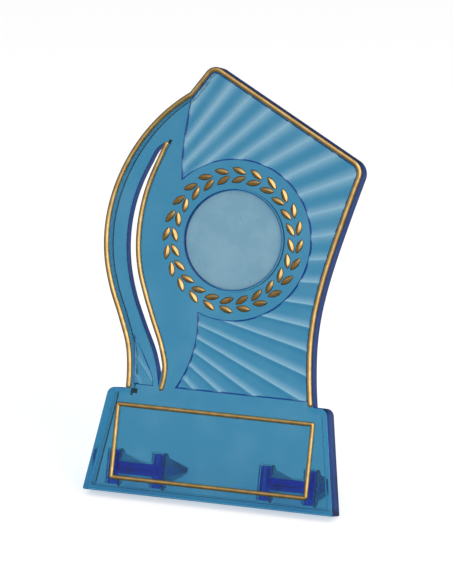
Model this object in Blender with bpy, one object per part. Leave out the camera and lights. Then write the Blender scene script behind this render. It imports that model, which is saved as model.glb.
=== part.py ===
"""A plaque trophy: one hollow blue moulding with gilt relief, leaning back on two plug-in feet.

Outlines are drawn in the plane of the plaque's front face, in millimetres: u runs to the right
and v up the plate, both from the middle of the wreath, and depth runs back from the face. One
empty holds that plane at the plaque's lean, and every piece is a child of it.
"""

import math

import bmesh
import bpy
from mathutils import Vector

MM = 0.001

# The stance
LEAN = math.radians(16)
FLOOR_TRIM = 0.25  # what the floor plane takes off the base's rear edge and the feet

# The moulding's walls, in depth from the front face
SKIN = 2.2
SKIRT_DEPTH = 9.6
SKIRT_WALL = 2.4
BASE_DEPTH = 13.5
BASE_WALL = 2.4
BASE_STEP_WALL = 3.4  # the wall is thicker next to the skin
BASE_STEP_DEPTH = 6.0
SLOT_WALL = 2.0
SLOT_WALL_DEPTH = 7.2
EMBED = 1.0  # how far a rib starts inside the skin that carries it

# The rim: the gilt bead's own centre line, from the base up the left side, over and down
RIM_LEFT = [(-47, -79.6), (-47.3, -70), (-49, -58.5), (-54.4, -44), (-60.9, -29), (-65.2, -14),
            (-66.5, 1), (-64.9, 16), (-60.5, 31), (-53, 46), (-41.2, 61), (-28.9, 71.3)]
PEAK = (-18.8, 86.2)
PEAK_CORNER = 4.8
SHOULDER = (63.4, 42)
SHOULDER_CORNER = 6.5
RIM_RIGHT = [(60.4, 31), (55.1, 11), (51.4, -4), (48.3, -19), (46.2, -34), (45.7, -49),
             (46.5, -61.5), (48.9, -79.6)]
RIM_SPAN_STEPS = 4
RIM_MARGIN = 1.4  # from the bead's centre line out to the moulding's edge

# The base, which is the same on both sides of u = 0
BASE_BOTTOM = -132.7
BASE_TOP = -79.6
BASE_HALF_BOTTOM = 66.0
BASE_HALF_TOP = 57.4
BASE_CORNER = 4.0
BASE_FOOT_CORNER = 0.8

# The flame: a gilt line with an open slot along its left side
FLAME_LINE = [(-39.1, 46.5), (-42.8, 36), (-46.8, 23.5), (-49.2, 8.5), (-49.2, -6.5), (-47, -19),
              (-42.6, -31.5), (-37.3, -44), (-31.8, -56.5), (-28.8, -67), (-29.9, -79.2)]
SLOT_TOP = (-40.1, 46)
SLOT_LEFT = [(-43, 44), (-48.3, 34), (-52.1, 24), (-54.5, 14), (-55.7, -1), (-54.1, -16),
             (-49.7, -31), (-42.9, -46), (-35.5, -61), (-32.4, -71)]
SLOT_BOTTOM = (-31.2, -77)
SLOT_GAP = 0.15  # between the slot and the gilt line's edge
SLOT_STRETCH = slice(1, -1)  # the flame line's knots that the slot runs along

# The sunk ray fields beside the flame and the wreath
RAY_DEPTH = 0.9
RAY_MARGIN = 1.7  # from the rim bead's centre line
LEDGE = -76.8
FLAME_UPPER_EDGE = [(-28.7, 69), (-30.2, 54), (-30.6, 38)]
FLAME_LOWER_EDGE = [(-22, LEDGE), (-16.6, -65), (-13.9, -52), (-13.9, -43)]
SMALL_FIELD = [(-44.4, LEDGE), (-33.8, LEDGE), (-35.4, -70.2), (-38.6, -64.2), (-43.6, -63.2)]

# The wreath and its centre
RING_RADIUS = 40.8
RING_FROM = math.radians(-110.5)
RING_TO = math.radians(136.5)
RING_STEPS = 40
DISC_RADIUS = 25.0
DISC_THICKNESS = 1.0
DISC_TOP_DEPTH = 2.0
SEAT_RADIUS = 25.3
SEAT_WALL = 2.0
SEAT_FLOOR = 2.0
DISC_STEPS = 48
LEAF_PAIRS = 24
LEAF_LENGTH = 7.0
LEAF_WIDTH = 2.7
LEAF_HEIGHT = 1.0
LEAF_ARC_STEPS = 4
LEAF_RIDGE_SHARE = 0.55
OUTER_LEAVES = {"radius": 35.0, "tilt": math.radians(20)}
INNER_LEAVES = {"radius": 30.55, "tilt": math.radians(-23)}

# Gilt beads stand on the front face, a fitting gap clear of it
GAP = 0.3
BEAD_WIDTH = 2.7
FLAME_BEAD_WIDTH = 2.5
FRAME_BAR_WIDTH = 2.4
BEAD_HEIGHT = 1.5
BEAD_FACETS = 4
FRAME_LEFT, FRAME_RIGHT = -51.4, 51.1
FRAME_LOW, FRAME_HIGH = -125.05, -87.95
LABEL_MARGIN = 1.7  # from the frame's centre line in to the sunk label panel
LABEL_DEPTH = 0.2

# The feet: an H-shaped plug with a wedge of two gussets and a web behind it
FOOT_CENTRE_U = 40.0
FOOT_CENTRE_V = -119.9
BAR_OFFSET = 11.7
BAR_WIDTH = 5.4
BAR_HEIGHT = 17.4
CROSS_BAR = 6.3
FOOT_FRONT = 5.5
PLUG_END = 13.0
FOOT_REACH = 54.0
GUSSET = 2.2
GUSSET_TIP = 3.2
WEB_TIP = 2.0
WEB_REACH = 53.4
SOCKET_WALL = 1.0
SOCKET_END = 9.5

BLUE = (0.055, 0.27, 0.44, 1)
NAVY = (0.01, 0.02, 0.3, 1)
GOLD = (0.72, 0.5, 0.2, 1)
FROST = (0.28, 0.46, 0.58, 1)


# Outlines: lists of (u, v, radius), where a radius above 0 rounds that corner

def corner(point, radius=0.0):
    return (point[0], point[1], radius)


def smooth_run(knots, steps):
    """Points on a smooth curve through the knots, both ends included."""
    knots = [Vector(k) for k in knots]
    spans = [b - a for a, b in zip(knots, knots[1:])]
    ways = [s.normalized() for s in spans]
    middle = []
    for a, b, way_a, way_b in zip(spans, spans[1:], ways, ways[1:]):
        middle.append((way_a * b.length + way_b * a.length) / (a.length + b.length))
    tangents = [2 * ways[0] - middle[0], *middle, 2 * ways[-1] - middle[-1]]
    run = []
    for i, span in enumerate(spans):
        for step in range(steps):
            t = step / steps
            run.append(knots[i] * (2 * t**3 - 3 * t**2 + 1)
                       + knots[i + 1] * (3 * t**2 - 2 * t**3)
                       + tangents[i] * span.length * (t**3 - 2 * t**2 + t)
                       + tangents[i + 1] * span.length * (t**3 - t**2))
    return [corner(p) for p in run + [knots[-1]]]


def neighbours(outline, closed):
    """Each corner's directions in and out, which are the same at an open end."""
    points = [Vector(c[:2]) for c in outline]
    last = len(points) - 1
    for i, here in enumerate(points):
        way_in = here - points[i - 1]
        way_out = points[(i + 1) % len(points)] - here
        if not closed and i == 0:
            way_in = way_out
        if not closed and i == last:
            way_out = way_in
        yield here, way_in.normalized(), way_out.normalized()


def moved_left(outline, distance, closed=True):
    """The outline moved to the left of its direction, which is inwards on a closed one."""
    result = []
    for (here, way_in, way_out), (_, _, radius) in zip(neighbours(outline, closed), outline):
        normal = (way_in + way_out).orthogonal().normalized()
        mitre = max(normal.dot(way_in.orthogonal()), 0.5)
        turn = 1 if way_in.cross(way_out) > 0 else -1
        kept = max(radius - turn * distance, 0.5) if radius else 0.0
        result.append(corner(here + normal * distance / mitre, kept))
    return result


def traced(outline, closed=True):
    """The outline's points, with its rounded corners as arcs."""
    points = []
    for (here, way_in, way_out), (_, _, radius) in zip(neighbours(outline, closed), outline):
        turn = way_in.angle_signed(way_out, 0)
        if not radius or abs(turn) < 1e-3:
            points.append(here)
            continue
        start = here - way_in * radius * math.tan(abs(turn) / 2)
        side = way_in.orthogonal() * math.copysign(radius, way_in.cross(way_out))
        centre = start + side
        steps = max(2, round(math.degrees(abs(turn)) / 15))
        for step in range(steps + 1):
            angle = math.copysign(abs(turn), way_in.cross(way_out)) * step / steps
            spoke = start - centre
            points.append(centre + Vector((spoke.x * math.cos(angle) - spoke.y * math.sin(angle),
                                           spoke.x * math.sin(angle) + spoke.y * math.cos(angle))))
    return points


def rim_line():
    """The rim bead's centre line, from the base's left up, over the peak and down."""
    left = smooth_run(RIM_LEFT, RIM_SPAN_STEPS)
    right = smooth_run(RIM_RIGHT, RIM_SPAN_STEPS)
    return [*left, corner(PEAK, PEAK_CORNER), corner(SHOULDER, SHOULDER_CORNER), *right]


def body_outline():
    """The moulding's edge above the base, anticlockwise, with its foot inside the base."""
    edge = moved_left(rim_line(), RIM_MARGIN, closed=False)
    inside = BASE_TOP - 2 * BASE_WALL
    return [corner((edge[0][0], inside)), corner((edge[-1][0], inside)), *reversed(edge)]


def base_outline():
    return [corner((-BASE_HALF_BOTTOM, BASE_BOTTOM), BASE_FOOT_CORNER),
            corner((BASE_HALF_BOTTOM, BASE_BOTTOM), BASE_FOOT_CORNER),
            corner((BASE_HALF_TOP, BASE_TOP), BASE_CORNER),
            corner((-BASE_HALF_TOP, BASE_TOP), BASE_CORNER)]


def body_hollow_outline():
    """The inside of the skirt, run down into the base's hollow."""
    inner = moved_left(body_outline(), SKIRT_WALL)
    low = BASE_TOP - 3 * BASE_WALL
    return [corner((inner[0][0], low)), corner((inner[1][0], low)), *inner[2:]]


def slot_outline():
    """The open slot, anticlockwise: down its left side and up along the flame line."""
    left = smooth_run([SLOT_TOP, *SLOT_LEFT, SLOT_BOTTOM], RIM_SPAN_STEPS)
    line = smooth_run(FLAME_LINE[SLOT_STRETCH], RIM_SPAN_STEPS)
    reach = FLAME_BEAD_WIDTH / 2 + SLOT_GAP
    right = moved_left(line, -reach, closed=False)
    return [*left, *reversed(right)]


def ring_arc():
    """The ray field's inner boundary along the wreath's ring."""
    turn = RING_TO - RING_FROM
    for step in range(RING_STEPS + 1):
        angle = RING_FROM + turn * step / RING_STEPS
        yield corner((RING_RADIUS * math.cos(angle), RING_RADIUS * math.sin(angle)))


def ray_field_outline():
    """Right of the ledge, up the rim, over to the peak, then back down by flame and ring."""
    rim = moved_left(rim_line(), -RAY_MARGIN, closed=False)
    kink = len(smooth_run(RIM_LEFT, RIM_SPAN_STEPS)) - 1
    above_ledge = [c for c in reversed(rim[kink:]) if c[1] > LEDGE]
    ledge_end = corner((above_ledge[0][0], LEDGE))
    upper = smooth_run(FLAME_UPPER_EDGE, RIM_SPAN_STEPS)
    lower = smooth_run(FLAME_LOWER_EDGE, RIM_SPAN_STEPS)
    return [ledge_end, *above_ledge, *upper, *reversed(list(ring_arc())), *reversed(lower)]


def circle(radius, steps):
    turns = [math.tau * step / steps for step in range(steps)]
    return [corner((radius * math.cos(a), radius * math.sin(a))) for a in turns]


def frame_corners(inset=0.0):
    """The nameplate frame's centre line, or the rectangle that far inside it."""
    left, right = FRAME_LEFT + inset, FRAME_RIGHT - inset
    low, high = FRAME_LOW + inset, FRAME_HIGH - inset
    return [corner(c) for c in ((left, low), (right, low), (right, high), (left, high))]


def h_outline(centre_u):
    """The feet's H section, anticlockwise from the left bar's lower left corner."""
    right_half = [(BAR_OFFSET - BAR_WIDTH / 2, -CROSS_BAR / 2),
                  (BAR_OFFSET - BAR_WIDTH / 2, -BAR_HEIGHT / 2),
                  (BAR_OFFSET + BAR_WIDTH / 2, -BAR_HEIGHT / 2),
                  (BAR_OFFSET + BAR_WIDTH / 2, BAR_HEIGHT / 2),
                  (BAR_OFFSET - BAR_WIDTH / 2, BAR_HEIGHT / 2),
                  (BAR_OFFSET - BAR_WIDTH / 2, CROSS_BAR / 2)]
    left_half = [(-u, -v) for u, v in right_half]
    return [corner((centre_u + u, FOOT_CENTRE_V + v)) for u, v in right_half + left_half]


# Solids, from points in metres on the plaque's own axes: u, depth, v

def place(point, depth):
    return Vector((point[0] * MM, depth * MM, point[1] * MM))


def new_object(name, bm, frame):
    bmesh.ops.recalc_face_normals(bm, faces=bm.faces)
    mesh = bpy.data.meshes.new(name)
    bm.to_mesh(mesh)
    bm.free()
    obj = bpy.data.objects.new(name, mesh)
    bpy.context.collection.objects.link(obj)
    obj.parent = frame
    return obj


def loft(name, rings, frame, closed_ends=True):
    """A skin over rings of points; each ring closes on itself."""
    bm = bmesh.new()
    made = [[bm.verts.new(p) for p in ring] for ring in rings]
    pairs = list(zip(made, made[1:]))
    if not closed_ends:
        pairs.append((made[-1], made[0]))
    for ring, following in pairs:
        for i in range(len(ring)):
            bm.faces.new((ring[i - 1], ring[i], following[i], following[i - 1]))
    if closed_ends:
        bm.faces.new(made[0])
        bm.faces.new(made[-1])
    return new_object(name, bm, frame)


def prism(name, outline, near, far, frame):
    """The outline's area, from one depth to another."""
    points = traced(outline)
    return loft(name, [[place(p, depth) for p in points] for depth in (near, far)], frame)


def side_prism(name, profile, low_u, high_u, frame):
    """A profile of (depth, v) points, drawn out from one u to another."""
    rings = [[place((u, v), depth) for depth, v in profile] for u in (low_u, high_u)]
    return loft(name, rings, frame)


def bead(name, line, width, frame, closed=False):
    """A half-round bead swept along a line, its flat side a gap off the front face."""
    rings = []
    outline = [corner(p) for p in traced(line, closed)]
    for here, way_in, way_out in neighbours(outline, closed):
        normal = (way_in + way_out).orthogonal().normalized()
        mitre = normal.dot(way_in.orthogonal())
        ring = []
        for facet in range(BEAD_FACETS + 1):
            angle = math.pi * facet / BEAD_FACETS
            across = normal * math.cos(angle) * width / 2 / mitre
            height = GAP + (BEAD_HEIGHT - GAP) * math.sin(angle)
            ring.append(place(here + across, -height))
        rings.append(ring)
    return loft(name, rings, frame, closed_ends=not closed)


def boolean(target, tool, operation):
    """Joins the tool to the target, or cuts it out, and hides the tool."""
    modifier = target.modifiers.new(tool.name, "BOOLEAN")
    modifier.operation = operation
    modifier.solver = "EXACT"
    modifier.object = tool
    tool.hide_render = True
    tool.display_type = "WIRE"


def floor_block(name, frame):
    """A block whose top is the floor plane, seen from the plaque's leaning frame."""
    block = side_prism(name, [(-200, -60), (200, -60), (200, 0), (-200, 0)], -100, 100, frame)
    block.location = place((0, BASE_BOTTOM), BASE_DEPTH)
    block.location += Vector((0, -math.sin(LEAN), math.cos(LEAN))) * FLOOR_TRIM * MM
    block.rotation_euler = (LEAN, 0, 0)
    return block


# The pieces

def finish(name, colour, roughness, metallic=0.0, clear=0.0):
    material = bpy.data.materials.new(name)
    material.use_nodes = True
    shader = material.node_tree.nodes["Principled BSDF"]
    shader.inputs["Base Color"].default_value = colour
    shader.inputs["Roughness"].default_value = roughness
    shader.inputs["Metallic"].default_value = metallic
    shader.inputs["Transmission Weight"].default_value = clear
    return material


def plaque_body(frame, floor):
    """The one-piece moulding: face, skirt, base box, slot, sunk fields, seat and sockets."""
    body = prism("plaque_body", body_outline(), 0, SKIRT_DEPTH, frame)
    base = base_outline()
    boolean(body, prism("base_box", base, 0, BASE_DEPTH, frame), "UNION")

    past_body, past_base = SKIRT_DEPTH + 5, BASE_DEPTH + 5
    step_outline = moved_left(base, BASE_STEP_WALL)
    deep_outline = moved_left(base, BASE_WALL)
    hollows = [prism("skirt_hollow", body_hollow_outline(), SKIN, past_body, frame),
               prism("base_hollow", step_outline, SKIN, BASE_STEP_DEPTH + 1, frame),
               prism("base_hollow_rear", deep_outline, BASE_STEP_DEPTH, past_base, frame)]
    for hollow in hollows:
        boolean(body, hollow, "DIFFERENCE")

    slot = slot_outline()
    ribs = [prism("slot_wall", moved_left(slot, -SLOT_WALL), EMBED, SLOT_WALL_DEPTH, frame)]
    seat_depth = DISC_TOP_DEPTH + DISC_THICKNESS + GAP
    boss = circle(SEAT_RADIUS + SEAT_WALL, DISC_STEPS)
    ribs.append(prism("seat_boss", boss, EMBED, seat_depth + SEAT_FLOOR, frame))
    cuts = [prism("slot_hole", slot, -5, SLOT_WALL_DEPTH + 5, frame),
            prism("seat_hole", circle(SEAT_RADIUS, DISC_STEPS), -5, seat_depth, frame),
            prism("ray_field", ray_field_outline(), -5, RAY_DEPTH, frame),
            prism("small_ray_field", [corner(p) for p in SMALL_FIELD], -5, RAY_DEPTH, frame),
            prism("label_panel", frame_corners(LABEL_MARGIN), -5, LABEL_DEPTH, frame)]
    for side, word in ((-1, "left"), (1, "right")):
        section = h_outline(side * FOOT_CENTRE_U)
        collar = moved_left(section, -(GAP + SOCKET_WALL))
        well = moved_left(section, -GAP)
        ribs.append(prism("socket_" + word, collar, EMBED, SOCKET_END, frame))
        cuts.append(prism("socket_well_" + word, well, FOOT_FRONT - GAP, SOCKET_END + 5, frame))
    for rib in ribs:
        boolean(body, rib, "UNION")
    for cut in cuts:
        boolean(body, cut, "DIFFERENCE")
    boolean(body, floor, "DIFFERENCE")
    return body


def wedge_profile(root_height, tip_height, reach):
    """A gusset or web from the side, as (depth, v) points, its root sunk in the plug."""
    root, tip, sunk = root_height / 2, tip_height / 2, PLUG_END - EMBED
    side = [(sunk, -root), (PLUG_END, -root), (reach, -tip), (reach, tip), (PLUG_END, root),
            (sunk, root)]
    return [(depth, FOOT_CENTRE_V + v) for depth, v in side]


def foot(name, side, frame, floor):
    """One foot; its origin is on the line it is pulled out along."""
    centre = side * FOOT_CENTRE_U
    plug = prism(name, h_outline(centre), FOOT_FRONT, PLUG_END, frame)
    gusset_side = wedge_profile(BAR_HEIGHT - 2 * EMBED, GUSSET_TIP, FOOT_REACH)
    for at in (-BAR_OFFSET, BAR_OFFSET):
        low = centre + at - GUSSET / 2
        gusset = side_prism(f"{name}_gusset", gusset_side, low, low + GUSSET, frame)
        boolean(plug, gusset, "UNION")
    web_side = wedge_profile(CROSS_BAR - EMBED, WEB_TIP, WEB_REACH)
    web = side_prism(f"{name}_web", web_side, centre - BAR_OFFSET, centre + BAR_OFFSET, frame)
    boolean(plug, web, "UNION")
    boolean(plug, floor, "DIFFERENCE")
    origin = place((centre, FOOT_CENTRE_V), PLUG_END)
    for vertex in plug.data.vertices:
        vertex.co -= origin
    plug.location = origin
    return plug


def leaf_mesh(frame):
    """One laurel leaf along u, pointed at both ends, with a ridge down its middle."""
    half, bulge = LEAF_LENGTH / 2, LEAF_WIDTH / 2
    shares = [-1 + 2 * step / LEAF_ARC_STEPS for step in range(LEAF_ARC_STEPS + 1)]
    lower = [(half * s, -bulge * (1 - s * s)) for s in shares]
    upper = [(half * s, bulge * (1 - s * s)) for s in reversed(shares[1:-1])]
    outline = lower + upper
    ridge_half = half * LEAF_RIDGE_SHARE
    ridge = [(max(-ridge_half, min(ridge_half, u)), 0) for u, _ in outline]
    bm = bmesh.new()
    foot_ring = [bm.verts.new(place(p, -GAP)) for p in outline]
    tops = {}
    for point in ridge:
        if point not in tops:
            tops[point] = bm.verts.new(place(point, -GAP - LEAF_HEIGHT))
    bm.faces.new(foot_ring)
    for i in range(len(outline)):
        near, far = tops[ridge[i - 1]], tops[ridge[i]]
        side = [foot_ring[i - 1], foot_ring[i], far]
        if near is not far:
            side.append(near)
        bm.faces.new(side)
    return new_object("laurel_leaf_pattern", bm, frame)


def laurel_leaves(frame):
    """Two rings of leaves, paired so that each pair closes up clockwise."""
    pattern = leaf_mesh(frame)
    leaves = []
    for word, ring in (("outer", OUTER_LEAVES), ("inner", INNER_LEAVES)):
        for pair in range(LEAF_PAIRS):
            angle = math.tau * pair / LEAF_PAIRS
            leaf = bpy.data.objects.new(f"laurel_leaf_{word}_{pair + 1:02d}", pattern.data)
            bpy.context.collection.objects.link(leaf)
            leaf.parent = frame
            spot = (ring["radius"] * math.cos(angle), ring["radius"] * math.sin(angle))
            leaf.location = place(spot, 0)
            clockwise = angle - math.pi / 2
            leaf.rotation_euler = (0, -(clockwise - ring["tilt"]), 0)
            leaves.append(leaf)
    bpy.data.objects.remove(pattern)
    return leaves


def centre_disc(frame):
    outline = circle(DISC_RADIUS, DISC_STEPS)
    return prism("centre_disc", outline, DISC_TOP_DEPTH, DISC_TOP_DEPTH + DISC_THICKNESS, frame)


def stand_over_origin(frame, pieces):
    """Rests the trophy on z = 0 with its box centred over the origin."""
    bpy.context.view_layer.update()
    graph = bpy.context.evaluated_depsgraph_get()
    points = []
    for piece in pieces:
        solid = piece.evaluated_get(graph)
        points += [solid.matrix_world @ v.co for v in solid.data.vertices]
    low = Vector([min(p[axis] for p in points) for axis in range(3)])
    high = Vector([max(p[axis] for p in points) for axis in range(3)])
    middle = (low + high) / 2
    frame.location = (-middle.x, -middle.y, -low.z)


def build():
    for obj in list(bpy.data.objects):
        bpy.data.objects.remove(obj)
    frame = bpy.data.objects.new("plaque_frame", None)
    bpy.context.collection.objects.link(frame)
    frame.rotation_euler = (-LEAN, 0, 0)

    floor = floor_block("floor_trim", frame)
    moulding = [plaque_body(frame, floor)]
    feet = [foot("foot_left", -1, frame, floor), foot("foot_right", 1, frame, floor)]
    gilt = [bead("rim_bead", rim_line(), BEAD_WIDTH, frame),
            bead("flame_bead", smooth_run(FLAME_LINE, RIM_SPAN_STEPS), FLAME_BEAD_WIDTH, frame),
            bead("nameplate_frame", frame_corners(), FRAME_BAR_WIDTH, frame, closed=True),
            *laurel_leaves(frame)]
    disc = [centre_disc(frame)]

    finishes = ((moulding, finish("blue_plastic", BLUE, 0.12, clear=0.8)),
                (feet, finish("navy_plastic", NAVY, 0.15, clear=0.6)),
                (gilt, finish("gilt", GOLD, 0.28, metallic=1.0)),
                (disc, finish("frosted_disc", FROST, 0.6)))
    for pieces, material in finishes:
        for piece in pieces:
            piece.data.materials.clear()
            piece.data.materials.append(material)
    stand_over_origin(frame, moulding + feet + gilt + disc)


build()
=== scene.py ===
"""The finished look of the plaque trophy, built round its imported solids.

Outlines are in the plane of the plaque's front face, in millimetres: u runs to the right and v
up the plate, both from the middle of the wreath, and depth runs back from the face.
"""

import math

import bmesh
import bpy
from mathutils import Matrix, Vector
from mathutils.geometry import delaunay_2d_cdt


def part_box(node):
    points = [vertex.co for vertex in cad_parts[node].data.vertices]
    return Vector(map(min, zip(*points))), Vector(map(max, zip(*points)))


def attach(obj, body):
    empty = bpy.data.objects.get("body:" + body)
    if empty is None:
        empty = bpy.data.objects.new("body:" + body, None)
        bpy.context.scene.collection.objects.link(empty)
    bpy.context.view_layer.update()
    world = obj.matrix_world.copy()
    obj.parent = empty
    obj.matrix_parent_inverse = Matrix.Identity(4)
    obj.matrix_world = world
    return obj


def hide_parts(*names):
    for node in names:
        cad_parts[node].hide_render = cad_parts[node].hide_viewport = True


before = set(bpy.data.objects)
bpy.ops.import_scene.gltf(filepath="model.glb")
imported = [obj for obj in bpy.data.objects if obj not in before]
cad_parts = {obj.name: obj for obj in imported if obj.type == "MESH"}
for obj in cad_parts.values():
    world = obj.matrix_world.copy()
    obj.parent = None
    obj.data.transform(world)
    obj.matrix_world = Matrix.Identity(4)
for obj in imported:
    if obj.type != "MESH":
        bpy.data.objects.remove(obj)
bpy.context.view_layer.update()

MM = 0.001
LEAN = math.radians(16)

# The moulding's walls, in depth from the front face
SKIN = 2.2
SKIRT_DEPTH = 9.6
SKIRT_WALL = 2.4
BASE_DEPTH = 13.5
BASE_WALL = 2.4
BASE_STEP_WALL = 3.4
BASE_STEP_DEPTH = 6.0
SLOT_WALL = 1.1
SLOT_WALL_DEPTH = 7.2
EMBED = 1.0  # how far a joined part runs into its neighbour
FLAT_FACING = 0.9995
FLAT_AREA = 8 * MM * MM
EDGE = 0.4  # how far the moulding's outer edges are rounded
FIELD_DRAFT = 0.35  # how far a sunk field's sides slope in
LIP = 0.4  # the small chamfer round every sunk field
FLOOR_TRIM = 0.25  # how much the lowest edges are cut back to stand flat
OVERCUT = 5  # how far a cutter runs on past what it cuts
CUT_FRONT = -3.0  # where a cutter from the front starts
FACE_GAP = 0.01  # a cutter's wide part ends this far in front of the face
FLOOR_BLOCK = {"reach": 200, "height": 60, "half_width": 100}

# How outlines are drawn
LEAST_RADIUS = 0.3  # of a rounded corner, once its outline has been moved
MITRE_LIMIT = 0.5
STRAIGHT = 1e-3  # a turn too small to round
TINY = 1e-6
ROUND_STEPS = 4  # along a rounded edge

# The rim bead's centre line, from the base up the left side, over and down
RIM_LEFT = [(-47, -79.6), (-47.3, -70), (-49, -58.5), (-54.4, -44), (-60.9, -29), (-65.2, -14),
            (-66.5, 1), (-64.9, 16), (-60.5, 31), (-53, 46), (-41.2, 61), (-28.9, 71.3)]
PEAK = (-18.8, 86.2)
PEAK_CORNER = 4.8
SHOULDER = (63.4, 42)
SHOULDER_CORNER = 6.5
RIM_RIGHT = [(60.4, 31), (55.1, 11), (51.4, -4), (48.3, -19), (46.2, -34), (45.7, -49),
             (46.5, -61.5), (48.9, -79.6)]
SPAN_STEPS = 9
RIM_MARGIN = 1.4

# The base
BASE_BOTTOM = -132.7
BASE_TOP = -79.6
BASE_HALF_BOTTOM = 66.0
BASE_HALF_TOP = 57.4
BASE_CORNER = 4.0
BASE_FOOT_CORNER = 0.8

# The flame and its open slot
FLAME_LINE = [(-39.1, 46.5), (-42.8, 36), (-46.8, 23.5), (-49.2, 8.5), (-49.2, -6.5), (-47, -19),
              (-42.6, -31.5), (-37.3, -44), (-31.8, -56.5), (-28.8, -67), (-29.9, -79.2)]
SLOT_TOP = (-40.1, 46)
SLOT_LEFT = [(-43, 44), (-48.3, 34), (-52.1, 24), (-54.5, 14), (-55.7, -1), (-54.1, -16),
             (-49.7, -31), (-42.9, -46), (-35.5, -61), (-32.4, -71)]
SLOT_BOTTOM = (-31.2, -77)
SLOT_GAP = 0.15
SLOT_LIP = 0.12
SLOT_STRETCH = slice(1, -1)

# The fluted ray fields
RAY_MARGIN = 1.7
LEDGE = -76.8
REAR_LEDGE = -81.7
FLAME_UPPER_EDGE = [(-28.7, 69), (-30.2, 54), (-30.6, 38)]
FLAME_LOWER_EDGE = [(-22, LEDGE), (-16.6, -65), (-13.9, -52), (-13.9, -43)]
SMALL_FIELD = [(-44.1, LEDGE), (-34.4, LEDGE), (-35.2, -72.5), (-36.6, -69.3), (-40.8, -62),
               (-46.4, -52.8), (-45.3, -62)]
RAY_POLE = Vector((-77.8, -22.3))
RAY_FIRST = math.radians(-40.2)
RAY_STEP = math.radians(5.32)
RAY_CREST_DEPTH = 0.3
RAY_SCALLOP = 0.1  # a flute's depth as a share of its width
RAY_DEEPEST = 1.3
RAY_CREST_ROUND = 0.12
RAY_SAMPLES = (0, 0.035, 0.08, 0.15, 0.25, 0.37, 0.5, 0.63, 0.75, 0.85, 0.92, 0.965)
RAY_SPACING = 4.0
RAY_START = 3 * RAY_SPACING  # from the pole to the first points of a ray
FIELD_INSET = 0.35  # the flutes' own points keep this far in from a field's outline
FIELD_LONGEST_SIDE = 1.5  # between the points of the ray field's outline
LEDGE_CLEARANCE = 0.5
REAR_SET_BACK = 0.06  # how much further back the rear flutes lie
RING_RADIUS = 40.8
RING_FROM = math.radians(-110.5)
RING_TO = math.radians(136.5)
RING_STEPS = 90

# The wreath and its centre
DISC_RADIUS = 25.0
DISC_THICKNESS = 1.0
DISC_TOP_DEPTH = 2.0
SEAT_RADIUS = 25.3
SEAT_WALL = 0.9
SEAT_DEPTH = 3.3
SEAT_FLOOR = 1.2
DISC_STEPS = 120
DISC_EDGES = (0.15, 0.1)
LEAF_PAIRS = 24
LEAF_LENGTH = 8.0
LEAF_WIDTH = 3.3
LEAF_HEIGHT = 1.2
LEAF_STATIONS = 14  # along a leaf
LEAF_FLANK = 4  # from a leaf's ridge to its edge
LEAF_TAPER = 0.85
LEAF_CROWN = 2.6
LEAF_FULLNESS = 0.8
LEAF_TIP_LIFT = 0.02
OUTER_LEAVES = {"radius": 35.0, "tilt": math.radians(20)}
INNER_LEAVES = {"radius": 30.55, "tilt": math.radians(-23)}

# The gilt beads, a touch sunk in the face
SINK = 0.06
BEAD_WIDTH = 2.7
FLAME_BEAD_WIDTH = 2.5
FRAME_BAR_WIDTH = 2.4
BEAD_HEIGHT = 1.45
BEAD_FACETS = 14
BEAD_END_STEPS = 6
BEAD_END_START = 0.02
BEAD_END_CLEARANCE = 0.1
FRAME_CORNER = 0.7
FRAME_LEFT, FRAME_RIGHT = -51.4, 51.1
FRAME_LOW, FRAME_HIGH = -125.05, -87.95
LABEL_MARGIN = 1.7  # from the frame's centre line in to the sunk label panel
LABEL_DEPTH = 0.2

# The feet
FOOT_CENTRE_U = 40.0
FOOT_CENTRE_V = -119.9
BAR_OFFSET = 11.7
BAR_WIDTH = 5.4
BAR_HEIGHT = 17.4
CROSS_BAR = 6.3
FOOT_FRONT = 5.5
PLUG_END = 13.0
FOOT_REACH = 54.0
GUSSET = 2.2
GUSSET_TIP = 3.2
WEB_TIP = 2.0
WEB_REACH = 53.4
GAP = 0.15
SOCKET_WALL = 0.6
SOCKET_END = 7.5
PLUG_CORNER = 0.9
PLUG_EDGES = (0.35, 0.2)
FOOT_EDGE = 0.18
FOOT_EDGE_ANGLE = math.radians(50)


def plate_axes():
    """The matrix from plate coordinates (u, depth, v) to the row frame, from the disc's place."""
    turn = Matrix.Rotation(-LEAN, 4, "X")
    low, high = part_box("centre_disc")
    middle = Vector((0, (DISC_TOP_DEPTH + DISC_THICKNESS / 2) * MM, 0))
    return Matrix.Translation((low + high) / 2 - turn @ middle) @ turn


PLATE = plate_axes()


# Outlines: lists of (u, v, radius), where a radius above 0 rounds that corner

def corner(point, radius=0.0):
    return (point[0], point[1], radius)


def smooth_run(knots, steps=SPAN_STEPS):
    """Points on a smooth curve through the knots, both ends included."""
    knots = [Vector(k) for k in knots]
    spans = [b - a for a, b in zip(knots, knots[1:])]
    ways = [s.normalized() for s in spans]
    middle = []
    for a, b, way_a, way_b in zip(spans, spans[1:], ways, ways[1:]):
        middle.append((way_a * b.length + way_b * a.length) / (a.length + b.length))
    tangents = [2 * ways[0] - middle[0], *middle, 2 * ways[-1] - middle[-1]]
    run = []
    for i, span in enumerate(spans):
        for step in range(steps):
            t = step / steps
            run.append(knots[i] * (2 * t**3 - 3 * t**2 + 1)
                       + knots[i + 1] * (3 * t**2 - 2 * t**3)
                       + tangents[i] * span.length * (t**3 - 2 * t**2 + t)
                       + tangents[i + 1] * span.length * (t**3 - t**2))
    return [corner(p) for p in run + [knots[-1]]]


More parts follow.
